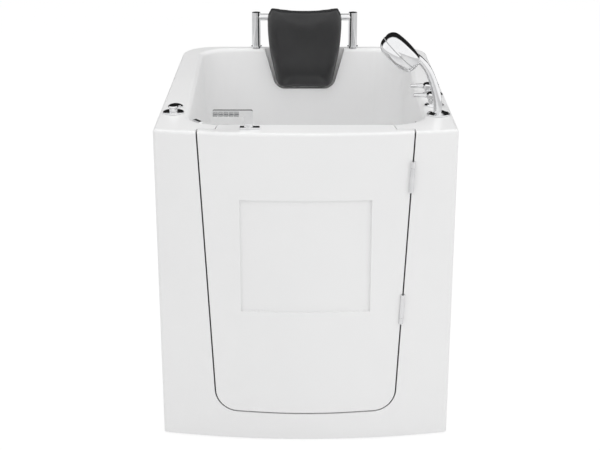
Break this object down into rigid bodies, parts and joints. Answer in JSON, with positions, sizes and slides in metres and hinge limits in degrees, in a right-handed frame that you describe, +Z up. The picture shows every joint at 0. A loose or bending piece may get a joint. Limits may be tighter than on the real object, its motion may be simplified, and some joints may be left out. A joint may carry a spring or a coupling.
{
  "type": "jetted bathtub",
  "caption": "Upright front-entry jetted bathtub with a tapered outward door, moulded seat, headrest on a chrome rail, hand shower, lever valves and deck controls.",
  "frame": {"origin": "on the floor, at the middle of the footprint's bounding box", "axes": "+Z up, -Y towards the door, +X to the right of someone facing the door"},
  "size_m": [0.79, 1.076, 1.1019],
  "materials": {
    "white_acrylic": "gloss",
    "chrome": "polished",
    "black_leatherette": "soft satin",
    "black_rubber": "matte",
    "zinc_steel": "zinc plated",
    "brass": "plain",
    "white_plastic": "satin",
    "black_plastic": "satin",
    "grey_paint": "satin"
  },
  "bodies": {
    "tub": {"tub_shell": "white_acrylic", "left_side_panel": "white_acrylic", "right_side_panel": "white_acrylic", "rail_posts": "chrome", "rail_crossbar": "chrome", "rail_base_rings": "chrome", "shower_socket": "chrome", "valve_bases": "chrome", "air_control_base": "chrome", "power_button_base": "chrome", "overflow_plate": "chrome", "drain_flange": "chrome", "jet_trim_rings": "chrome", "filler_spout": "chrome", "hinge_frame_leaves": "chrome", "suction_cover": "chrome", "levelling_feet": "black_rubber", "frame_rails": "zinc_steel", "frame_posts": "zinc_steel", "foot_lock_nuts": "zinc_steel", "rail_nuts": "zinc_steel", "panel_screws": "zinc_steel", "hinge_pins": "zinc_steel", "pump_base": "zinc_steel", "mixing_manifold": "brass", "supply_tails": "brass", "latch_keeper": "brass", "jet_bodies": "white_plastic", "suction_fitting": "white_plastic", "suction_pipe": "white_plastic", "drain_body": "white_plastic", "waste_pipe": "white_plastic", "jet_manifold": "white_plastic", "pump_wet_end": "black_plastic", "pump_motor": "grey_paint"},
    "door": {"door_outer_shell": "white_acrylic", "door_inner_shell": "white_acrylic", "door_inset_panel": "white_acrylic", "door_seal": "black_rubber", "latch_base_plate": "chrome", "latch_case": "zinc_steel", "hinge_door_leaves": "chrome"},
    "latch": {"latch_handle": "chrome", "latch_spindle": "zinc_steel"},
    "bolt": {"latch_bolt": "zinc_steel"},
    "front_lever": {"front_valve_lever": "chrome"},
    "rear_lever": {"rear_valve_lever": "chrome"},
    "air_knob": {"air_control_knob": "chrome"},
    "button": {"power_button": "chrome"},
    "hand_shower": {"hand_shower_body": "chrome", "hand_shower_face": "chrome"},
    "drain_knob": {"drain_control_knob": "chrome"},
    "stopper": {"drain_stopper": "chrome"},
    "headrest": {"headrest_pad": "black_leatherette", "headrest_board": "black_plastic", "headrest_clips": "black_plastic"},
    "nozzle_back_left": {"jet_nozzle_back_left": "white_plastic"},
    "nozzle_back_right": {"jet_nozzle_back_right": "white_plastic"},
    "nozzle_hip_left": {"jet_nozzle_hip_left": "white_plastic"},
    "nozzle_hip_right": {"jet_nozzle_hip_right": "white_plastic"}
  },
  "joints": [
    {"name": "door_swing", "type": "hinge", "parent": "tub", "child": "door", "pos_m": [0.281, -0.52228, 0.88], "axis": [0.0457, 0, 0.999], "range_deg": [0, 110]},
    {"name": "latch_turn", "type": "hinge", "parent": "door", "child": "latch", "pos_m": [-0.1475, -0.491, 0.88], "axis": [0, 0, 1], "range_deg": [0, 90]},
    {"name": "bolt_slide", "type": "slide", "parent": "door", "child": "bolt", "axis": [-1, 0, 0], "range_m": [0, 0.018]},
    {"name": "front_valve_turn", "type": "hinge", "parent": "tub", "child": "front_lever", "pos_m": [0.354, -0.249, 0.88], "axis": [0, 0, 1], "range_deg": [0, 90]},
    {"name": "rear_valve_turn", "type": "hinge", "parent": "tub", "child": "rear_lever", "pos_m": [0.354, -0.14, 0.88], "axis": [0, 0, -1], "range_deg": [0, 90]},
    {"name": "air_control_turn", "type": "hinge", "parent": "tub", "child": "air_knob", "pos_m": [-0.356, -0.328, 0.88], "axis": [0, 0, 1], "range_deg": [0, 180]},
    {"name": "power_button_press", "type": "slide", "parent": "tub", "child": "button", "axis": [0, 0, -1], "range_m": [0, 0.003], "stiffness_N_per_m": 600},
    {"name": "hand_shower_lift", "type": "slide", "parent": "tub", "child": "hand_shower", "axis": [-0.1736, 0, 0.9848], "range_m": [0, 0.12]},
    {"name": "drain_knob_turn", "type": "hinge", "parent": "tub", "child": "drain_knob", "pos_m": [-0.28935, -0.39826, 0.847], "axis": [0.818, 0.5728, 0.0523], "range_deg": [0, 90]},
    {"name": "stopper_lift", "type": "slide", "parent": "tub", "child": "stopper", "axis": [0, 0, 1], "range_m": [0, 0.01]},
    {"name": "headrest_tilt", "type": "hinge", "parent": "tub", "child": "headrest", "pos_m": [0, 0.52, 0.981], "axis": [-1, 0, 0], "range_deg": [0, 30]},
    {"name": "nozzle_back_left_swivel", "type": "hinge", "parent": "tub", "child": "nozzle_back_left", "pos_m": [-0.14, 0.46592, 0.57921], "axis": [1, 0, 0], "range_deg": [-12, 12]},
    {"name": "nozzle_hip_left_swivel", "type": "hinge", "parent": "tub", "child": "nozzle_hip_left", "pos_m": [-0.31321, 0.17783, 0.51969], "axis": [-0.0277, 0.9996, 0], "range_deg": [-12, 12]},
    {"name": "nozzle_back_right_swivel", "type": "hinge", "parent": "tub", "child": "nozzle_back_right", "pos_m": [0.14, 0.46592, 0.57921], "axis": [1, 0, 0], "range_deg": [-12, 12]},
    {"name": "nozzle_hip_right_swivel", "type": "hinge", "parent": "tub", "child": "nozzle_hip_right", "pos_m": [0.31321, 0.17783, 0.51969], "axis": [-0.0277, -0.9996, 0], "range_deg": [-12, 12]}
  ],
  "couplings": [
    {"joint": "bolt_slide", "follows": "latch_turn", "m_per_rad": 0.011458},
    {"joint": "drain_knob_turn", "follows": "stopper_lift", "rad_per_m": 157.06}
  ]
}
